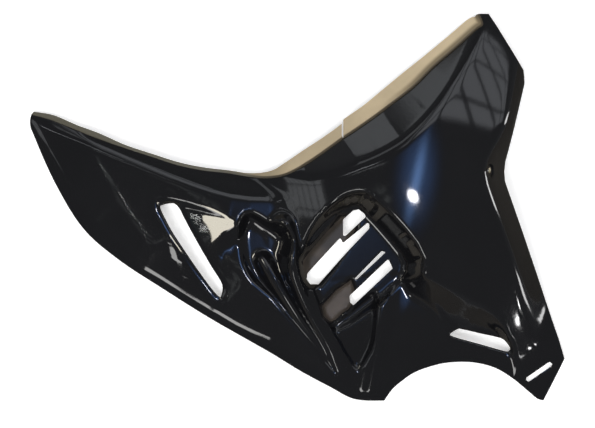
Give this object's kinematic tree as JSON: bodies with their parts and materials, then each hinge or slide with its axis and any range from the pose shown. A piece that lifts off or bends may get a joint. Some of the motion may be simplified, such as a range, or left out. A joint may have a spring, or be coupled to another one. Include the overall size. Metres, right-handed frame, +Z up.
{
  "type": "motorcycle fairing panel",
  "caption": "One-piece moulded side fairing panel with pressed ridges, a louvred air vent, long air slots, a fixing hole and an adjusting slot.",
  "frame": {"origin": "centre of the box in X and Y, on the floor that the panel lies on", "axes": "the panel lies painted side up: +X from the wing tip towards the rear edge, +Y towards the upper tip, +Z up and out of the painted side"},
  "size_m": [0.738, 0.534, 0.0988],
  "materials": {
    "gloss_black": "black lacquer over moulded ABS, high gloss; bare tan-brown ABS on the upper edge flange, in the vent's duct wall, on the cut edges and on the back"
  },
  "bodies": {
    "root": {"fairing_panel": "gloss_black"}
  },
  "joints": []
}
